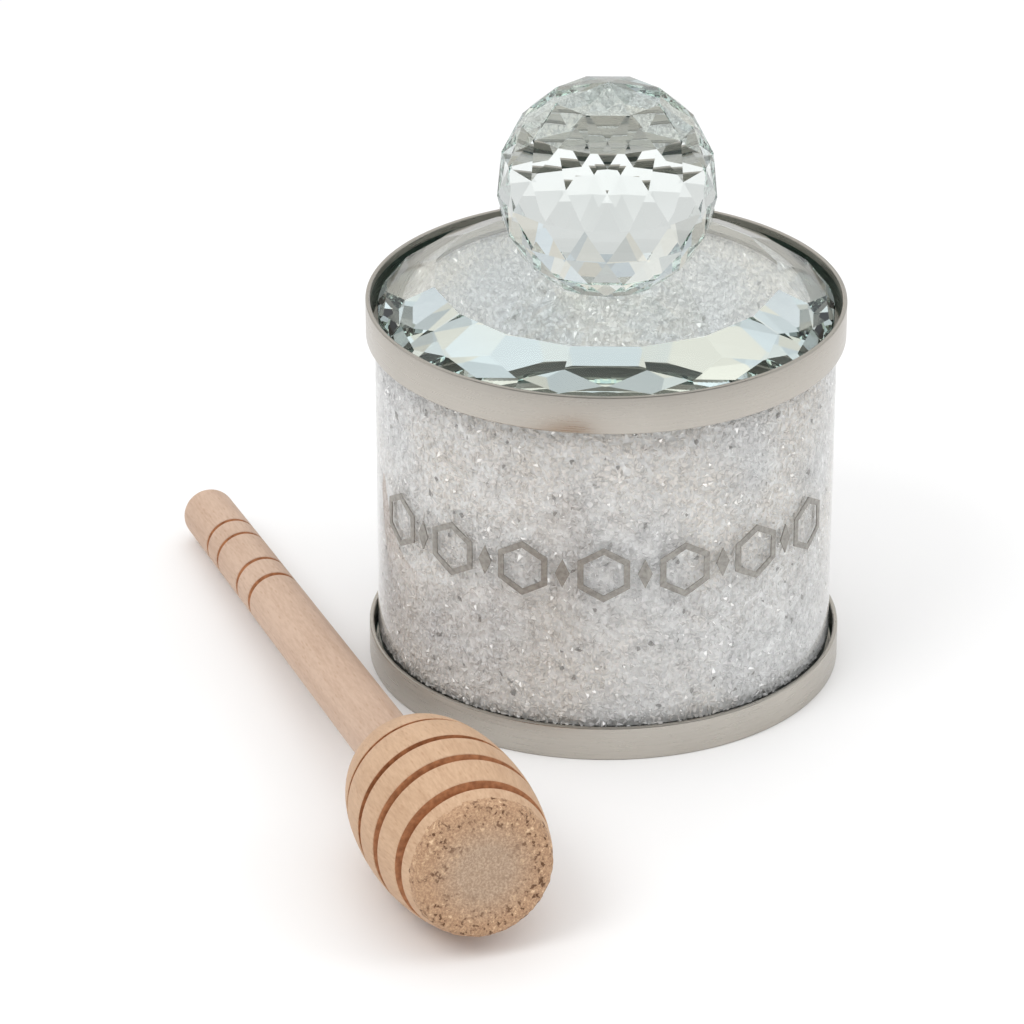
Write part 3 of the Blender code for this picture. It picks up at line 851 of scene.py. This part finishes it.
def addLid(settings):
    low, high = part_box("lid_glass")
    radius = high.x
    sides = settings["sides"]
    bm = lathe([(0.0, low.z), (radius, low.z), (radius, high.z), (0.0, high.z)], settings["steps"])
    bmesh.ops.dissolve_limit(bm, angle_limit=0.001, verts=bm.verts, edges=bm.edges)
    girdle = high.z - settings["girdleDrop"]
    slope = math.atan2(settings["girdleDrop"], radius - settings["tableRadius"])
    grindRing(bm, sides, 0.0, settings["tableRadius"], high.z, slope)
    reach = settings["breakReach"]
    grindRing(bm, sides, settings["breakShare"], radius - reach,
              girdle + reach * math.tan(slope), math.radians(settings["breakSlope"]))
    reach = settings["edgeReach"]
    grindRing(bm, 2 * sides, settings["breakShare"], radius - reach,
              girdle + reach * math.tan(slope) - settings["edgeSink"],
              math.radians(settings["edgeSlope"]))
    grindRing(bm, sides, 0.0, radius, low.z + settings["footBevel"], -math.radians(settings["footSlope"]))
    bmesh.ops.recalc_face_normals(bm, faces=bm.faces)
    return addPiece("cutLid", bm, cutCrystal, smoothDegrees=0.0)


ballCut = {
    "star": 8,                         # large facets that meet at the top
    "corners": 16,
    "rowDegrees": (30.0, 51.0, 71.0, 91.0, 110.0, 129.0, 148.0),
}


def addBall(settings):
    # rows of corners on a ball, each turned half a step from the one above; the last rims the flat base
    low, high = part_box("ball_knob")
    star, corners = settings["star"], settings["corners"]
    falls = [math.radians(angle) for angle in settings["rowDegrees"]]
    radius = (high.z - low.z) / (1.0 - math.cos(falls[-1]))
    bm = bmesh.new()
    top = bm.verts.new((0.0, 0.0, high.z))
    rows = []
    for number, fall in enumerate(falls):
        count = corners if number else star
        turns = [fullTurn * (index + max(number, 1) / 2.0) / count for index in range(count)]
        reach = radius * math.sin(fall)
        height = high.z - radius * (1.0 - math.cos(fall))
        rows.append([bm.verts.new((reach * math.cos(turn), reach * math.sin(turn), height))
                     for turn in turns])
    for index, corner in enumerate(rows[0]):
        after = rows[0][(index + 1) % star]
        below = [rows[1][(2 * index + step) % corners] for step in range(3)]
        bm.faces.new((top, corner, after))
        bm.faces.new((corner, below[0], below[1]))
        bm.faces.new((corner, below[1], below[2], after))
    for upper, lower in zip(rows[1:], rows[2:]):
        for index in range(corners):
            after = (index + 1) % corners
            bm.faces.new((upper[index], lower[index], upper[after]))
            bm.faces.new((upper[after], lower[index], lower[after]))
    bm.faces.new(rows[-1])
    bmesh.ops.recalc_face_normals(bm, faces=bm.faces)
    return addPiece("cutBall", bm, cutCrystal, smoothDegrees=0.0)


cutLid = addLid(lidCut)
settle(cutLid, "lid", "cut_crystal", "lid_glass")
letLightThrough(cutLid)
cutBall = addBall(ballCut)
settle(cutBall, "lid", "cut_crystal", "ball_knob")
letLightThrough(cutBall)
print("lid and ball cut")


# Silver ornaments

silver = {
    "dull": linear(140, 137, 132),
    "bright": linear(172, 169, 163),
    "grainScale": 1400.0,
    "roughness": 0.45,
    "metal": 0.5,
}


def silverFinish(settings):
    finish, tree, shader = newFinish("silverTransfer")
    grain = noiseOf(tree, objectPlace(tree), settings["grainScale"], 2.0)
    colour = blendColours(tree, ramp(tree, grain, [(0.3, 0.0), (0.7, 1.0)]),
                          settings["dull"], settings["bright"])
    feed(tree, shader, {"Base Color": colour, "Roughness": settings["roughness"],
                        "Metallic": settings["metal"]})
    return finish


silverPrint = silverFinish(silver)
for name in nodes:
    if name.startswith("comb_"):
        dress(name, silverPrint)


# Pad

felt = {
    "dark": (0.03, 0.03, 0.033, 1.0),
    "pale": (0.08, 0.08, 0.085, 1.0),
    "fuzzScale": 2500.0,
    "roughness": 0.95,
}


def feltFinish(settings):
    finish, tree, shader = newFinish("darkFelt")
    fuzz = noiseOf(tree, objectPlace(tree), settings["fuzzScale"], 4.0)
    feed(tree, shader, {"Base Color": blendColours(tree, fuzz, settings["dark"], settings["pale"]),
                        "Roughness": settings["roughness"]})
    return finish


dress("base_pad", feltFinish(felt))
print("ornaments and pad dressed")


# Wooden dipper, measured along its axis from the end of the handle

dipper = {
    "steps": 192,
    "length": 154.0 * mm,
    "place": (-71.2 * mm, 41.7 * mm),
    "headingDegrees": -69.6,
    "handleRadius": 4.6 * mm,
    "neckRadius": 5.0 * mm,
    "endFillet": 2.6 * mm,
    "headLength": 41.0 * mm,
    "headRadius": 13.9 * mm,
    "widest": 136.0 * mm,
    "restInset": 1.8 * mm,             # where it lies, before the widest ring
    "bulgeSteps": 56,
    "shoulderRadius": 7.6 * mm,
    "shoulderLength": 1.6 * mm,
    "shoulderEasing": 0.5 * mm,
    "faceRadius": 11.1 * mm,
    "faceEasing": 0.7 * mm,
    "faceRingShares": (0.95, 0.89, 0.82, 0.73, 0.62, 0.5, 0.36, 0.2, 0.0),
    "faceRelief": 0.13 * mm,
    "faceReliefScales": (700.0, 1900.0),
    "endGrainFrom": 151.6 * mm,
    "edgeEasing": 0.12 * mm,
    "grooveRoomShare": 0.7,            # kept clear on either side of a groove's middle
    # place, width and depth of each turned groove
    "handleGrooves": [(17.0 * mm, 1.0 * mm, 0.5 * mm), (23.3 * mm, 1.0 * mm, 0.5 * mm),
                      (35.3 * mm, 1.1 * mm, 0.5 * mm), (42.7 * mm, 1.3 * mm, 0.6 * mm)],
    "headGrooves": [(124.6 * mm, 1.0 * mm, 1.3 * mm), (133.6 * mm, 1.5 * mm, 2.0 * mm),
                    (141.1 * mm, 1.8 * mm, 2.2 * mm), (148.8 * mm, 2.0 * mm, 2.2 * mm)],
    "pale": linear(206, 179, 158),
    "tan": linear(187, 157, 135),
    "fleck": linear(170, 134, 108),
    "fleckShare": 0.35,
    "headTint": linear(255, 247, 231),
    "headFade": 4.0 * mm,
    # how fine the patterns are, across and along the grain
    "grainScales": (520.0, 26.0),
    "fineScales": (2600.0, 420.0),
    "fleckScales": (1500.0, 330.0),
    "cloudScale": 60.0,
    "grooveBrown": linear(182, 124, 84),
    "grooveBrownDeep": linear(146, 94, 60),
    "grooveMottleScale": 900.0,
    "endGrain": linear(164, 138, 115),
    "endPale": linear(200, 175, 151),
    "endRim": (linear(166, 128, 98), linear(206, 168, 132)),     # torn, warmer wood round the face
    "endRing": (4.0 * mm, 9.0 * mm),         # it grows between these two reaches
    "endPit": linear(104, 72, 48),
    "endCrumb": linear(226, 194, 158),
    "endEdge": (152.0 * mm, 0.9 * mm),       # where the torn end starts, and how ragged it is
    "raggedScale": 800.0,
    "mottleScale": 1250.0,
    "tornScale": 330.0,
    "speckScale": 2600.0,
    "roughness": (0.52, 0.72),
    "sheen": 0.35,
    "relief": 0.12 * mm,
}

woodTag, grooveTag = 0.0, 1.0


def dipperRadius(settings, along):
    neck = settings["length"] - settings["headLength"]
    widest = settings["widest"]
    bulge = settings["headRadius"]
    if along <= neck:
        return settings["handleRadius"] + (settings["neckRadius"] - settings["handleRadius"]) * along / neck
    if along > widest:
        share = (along - widest) / (settings["length"] - widest)
        return bulge - (bulge - settings["faceRadius"]) * share ** 2
    shoulder = neck + settings["shoulderLength"]
    share = min((widest - along) / (widest - shoulder), 1.0)
    return settings["shoulderRadius"] + (bulge - settings["shoulderRadius"]) * math.sqrt(1.0 - share ** 2)


def grooveSection(settings, along, width, depth):
    # points across one groove, each with the tag of the strip that follows it
    ease = settings["edgeEasing"]
    start, end = along - width / 2.0, along + width / 2.0
    before, after = dipperRadius(settings, start), dipperRadius(settings, end)
    bottom = dipperRadius(settings, along) - depth
    draft = width / 6.0
    return [
        (dipperRadius(settings, start - ease), start - ease, woodTag),
        (before - ease, start, grooveTag),
        (bottom + draft, start + draft / 2.0, grooveTag),
        (bottom, start + draft * 1.5, grooveTag),
        (bottom, end - draft * 1.5, grooveTag),
        (bottom + draft, end - draft / 2.0, grooveTag),
        (after - ease, end, woodTag),
        (dipperRadius(settings, end + ease), end + ease, woodTag),
    ]


def dipperSection(settings):
    length = settings["length"]
    neck = length - settings["headLength"]
    fillet = settings["endFillet"]
    section = [(0.0, 0.0, woodTag)]
    for radius, along in arcPoints((settings["handleRadius"] - fillet, fillet), fillet, -90.0, 0.0, 10):
        section.append((radius, along, woodTag))
    for cut in settings["handleGrooves"]:
        section += grooveSection(settings, *cut)
    ease = settings["shoulderEasing"]
    section.append((settings["neckRadius"], neck - ease, woodTag))
    section.append((settings["neckRadius"] + ease / 3.0, neck, woodTag))
    section.append((settings["shoulderRadius"] - ease, neck + ease, woodTag))
    first = neck + settings["shoulderLength"]
    last = length - settings["faceEasing"]
    room = settings["grooveRoomShare"]
    steps = settings["bulgeSteps"]
    stops = []
    for index in range(steps + 1):
        along = first + (last - first) * index / steps
        if all(abs(along - middle) > room * width for middle, width, _ in settings["headGrooves"]):
            stops.append((along, [(dipperRadius(settings, along), along, woodTag)]))
    for cut in settings["headGrooves"]:
        stops.append((cut[0], grooveSection(settings, *cut)))
    for _, points in sorted(stops):
        section += points
    ease = settings["faceEasing"]
    rim = settings["faceRadius"] - ease
    section += [(radius, along, woodTag)
                for radius, along in arcPoints((rim, length - ease), ease, 15.0, 90.0, 4)]
    section += [(rim * share, length, woodTag) for share in settings["faceRingShares"]]
    return section


def dipperTurn(settings):
    # it lies on the end of its handle and on the widest part of its head
    reach = settings["widest"] - settings["restInset"]
    tilt = math.asin((settings["headRadius"] - settings["handleRadius"]) / reach)
    return Euler((0.0, math.pi / 2.0 - tilt, math.radians(settings["headingDegrees"])))


def bareWood(tree, local, along, settings):
    # long grain with short dark flecks, and a warmer tint on the head
    def stretched(scales):
        return scaled(tree, local, (scales[0], scales[0], scales[1]))

    grain = noiseOf(tree, stretched(settings["grainScales"]), 1.0, 5.0, 0.62)
    fine = noiseOf(tree, stretched(settings["fineScales"]), 1.0, 2.0, 0.6)
    clouds = noiseOf(tree, local, settings["cloudScale"], 3.0)
    tone = calc(tree, "MULTIPLY_ADD", fine, 0.75, calc(tree, "MULTIPLY", clouds, 0.35))
    tone = calc(tree, "MULTIPLY_ADD", grain, 0.6, tone)
    wood = blendColours(tree, ramp(tree, tone, [(0.62, 0.0), (1.0, 1.0)]), settings["tan"], settings["pale"])
    dashes = addNode(tree, "ShaderNodeTexVoronoi",
                     {"Vector": stretched(settings["fleckScales"]), "Scale": 1.0}).outputs["Distance"]
    fleck = fade(tree, dashes, 0.30, 0.12, 0.0, settings["fleckShare"])
    wood = blendColours(tree, fleck, wood, settings["fleck"])
    neck = settings["length"] - settings["headLength"]
    onHead = fade(tree, along, neck, neck + settings["headFade"])
    wood = blendColours(tree, onHead, wood, settings["headTint"], blend="MULTIPLY")
    return wood, grain, fine


def tornEnd(tree, local, settings):
    # end grain: specked in the middle, with pits and crumbs toward the edge
    mottled = noiseOf(tree, local, settings["mottleScale"], 2.0, 0.6)
    torn = noiseOf(tree, local, settings["tornScale"], 3.0, 0.7)
    speck = noiseOf(tree, local, settings["speckScale"], 3.0, 0.75)
    ring = fade(tree, reachOf(tree, local, (1.0, 1.0, 0.0)), *settings["endRing"])
    rough = calc(tree, "MULTIPLY", fade(tree, torn, 0.40, 0.53), calc(tree, "MULTIPLY_ADD", ring, 0.9, 0.1))
    pit = calc(tree, "MULTIPLY", fade(tree, mottled, 0.44, 0.37), rough)
    crumb = calc(tree, "MULTIPLY", fade(tree, mottled, 0.60, 0.70), rough)
    specked = ramp(tree, speck, [(0.40, 0.0), (0.66, 1.0)])
    end = blendColours(tree, specked, settings["endGrain"], settings["endPale"])
    rim = blendColours(tree, specked, *settings["endRim"])
    end = blendColours(tree, calc(tree, "MULTIPLY", ring, 0.85), end, rim)
    end = blendColours(tree, crumb, end, settings["endCrumb"])
    end = blendColours(tree, pit, end, settings["endPit"])
    return end, pit, speck


def beechFinish(settings, place, turn):
    finish, tree, shader = newFinish("turnedBeech")
    local = addNode(tree, "ShaderNodeMapping",
                    {"Vector": objectPlace(tree), "Location": place, "Rotation": turn},
                    vector_type="TEXTURE").outputs[0]
    tag = addNode(tree, "ShaderNodeAttribute", attribute_name="tag").outputs["Fac"]
    along = upward(tree, local)
    wood, grain, fine = bareWood(tree, local, along, settings)
    end, pit, speck = tornEnd(tree, local, settings)
    # the grooves are a darker, mottled brown
    grooveMottle = ramp(tree, noiseOf(tree, local, settings["grooveMottleScale"], 3.0), [(0.35, 0.0), (0.65, 1.0)])
    grooveBrown = blendColours(tree, grooveMottle, settings["grooveBrownDeep"], settings["grooveBrown"])
    inGroove = calc(tree, "COMPARE", tag, grooveTag, 0.4)
    edge, ragged = settings["endEdge"]
    wander = noiseOf(tree, local, settings["raggedScale"], 3.0, 0.7)
    wander = calc(tree, "MULTIPLY_ADD", wander, 2.0 * ragged, along)
    onFace = calc(tree, "GREATER_THAN", wander, edge + ragged)
    colour = blendColours(tree, inGroove, wood, grooveBrown)
    colour = blendColours(tree, onFace, colour, end)
    height = calc(tree, "MULTIPLY_ADD", fine, 0.35, calc(tree, "MULTIPLY", grain, 0.3))
    height = calc(tree, "MULTIPLY_ADD", calc(tree, "MULTIPLY", onFace, pit), -3.0, height)
    height = calc(tree, "MULTIPLY_ADD", calc(tree, "MULTIPLY", onFace, speck), 1.2, height)
    feed(tree, shader, {"Base Color": colour, "Specular IOR Level": settings["sheen"],
                        "Roughness": fade(tree, fine, 0.3, 0.7, *settings["roughness"]),
                        "Normal": bumpOf(tree, height, 0.5, settings["relief"])})
    return finish


def roughenEnd(bm, settings):
    coarse, fine = settings["faceReliefScales"]
    for vert in bm.verts:
        if vert.co.z > settings["endGrainFrom"]:
            rough = noise.noise(vert.co * coarse) + 0.6 * noise.noise(vert.co * fine)
            deep = settings["faceRelief"] * (rough - 0.6)
            outward = Vector((vert.co.x, vert.co.y, 0.0)).normalized()
            vert.co.z += deep
            vert.co += outward * (deep * 0.8)


def addDipper(settings):
    section = dipperSection(settings)
    bm = lathe([point[:2] for point in section], settings["steps"], [point[2] for point in section])
    roughenEnd(bm, settings)
    turn = dipperTurn(settings)
    lay = turn.to_matrix()
    low = min((lay @ vert.co).z for vert in bm.verts)
    place = Vector((*settings["place"], -low))
    bmesh.ops.transform(bm, matrix=Matrix.Translation(place) @ lay.to_4x4(), verts=bm.verts)
    piece = addPiece("turnedDipper", bm, beechFinish(settings, place, turn), smoothDegrees=40.0)
    settle(piece, "dipper", "beech", "honey_dipper")


addDipper(dipper)
print("dipper turned")
